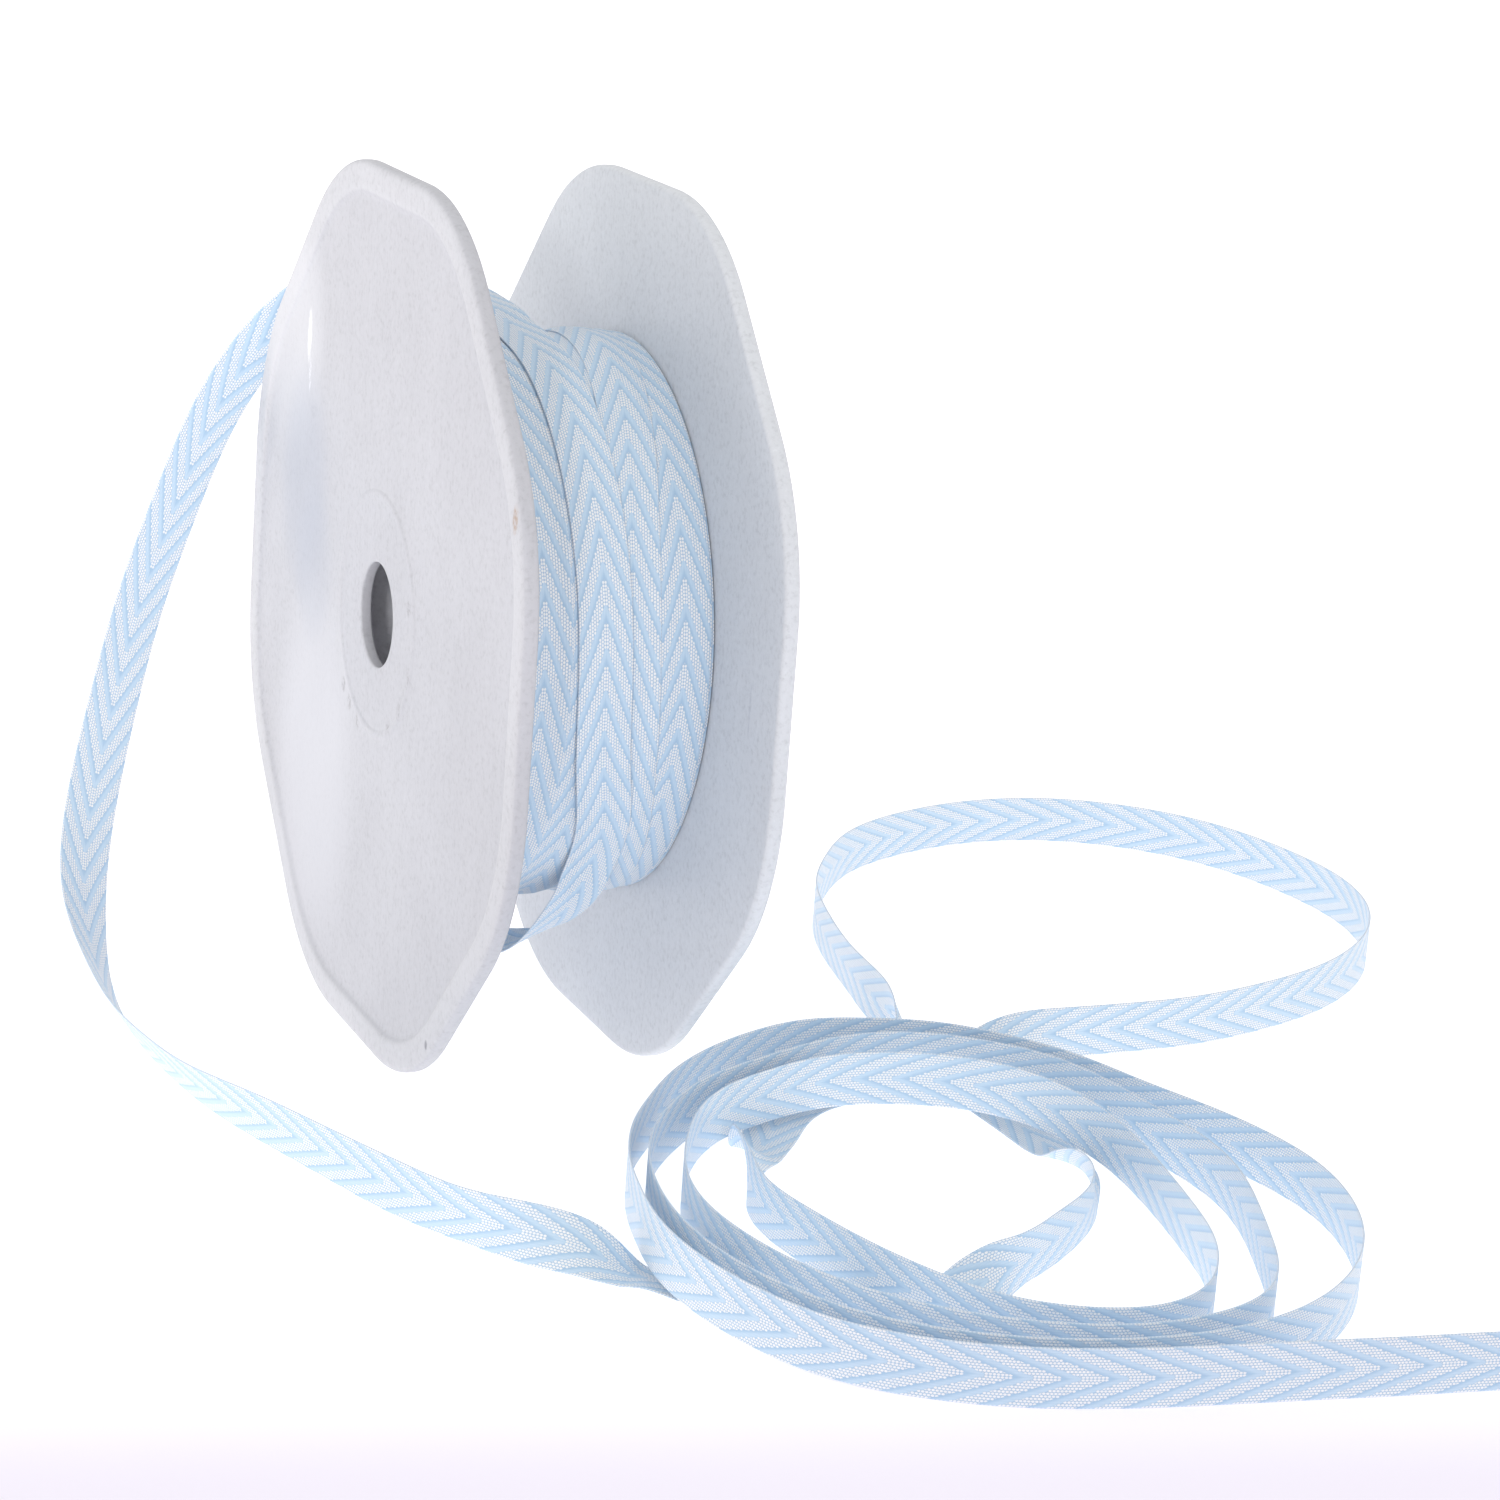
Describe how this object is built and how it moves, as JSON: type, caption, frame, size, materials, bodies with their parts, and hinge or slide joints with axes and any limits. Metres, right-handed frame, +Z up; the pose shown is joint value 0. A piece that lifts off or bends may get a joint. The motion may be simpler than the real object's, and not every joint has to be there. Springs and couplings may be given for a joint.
{
  "type": "roll of herringbone ribbon on a plastic spool",
  "caption": "Woven herringbone ribbon wound on a white octagonal plastic spool, its loose end trailing round the flange and lying in a twisted coil on the table.",
  "frame": {"origin": "on the table, under the middle of the near flange's edge", "axes": "+X along the spool's axis from the near flange to the far one, +Z up, -Y the side where the loose ribbon comes forward"},
  "size_m": [0.2771, 0.2946, 0.16],
  "materials": {
    "white_plastic": "satin, faintly brushed",
    "blue_ribbon": "woven chevrons in light blue and white"
  },
  "bodies": {
    "root": {"flange_near": "white_plastic", "flange_far": "white_plastic", "hub": "white_plastic", "ribbon_winding": "blue_ribbon", "ribbon_fall": "blue_ribbon", "ribbon_loop": "blue_ribbon", "ribbon_coil_inner": "blue_ribbon", "ribbon_coil_outer": "blue_ribbon"}
  },
  "joints": []
}
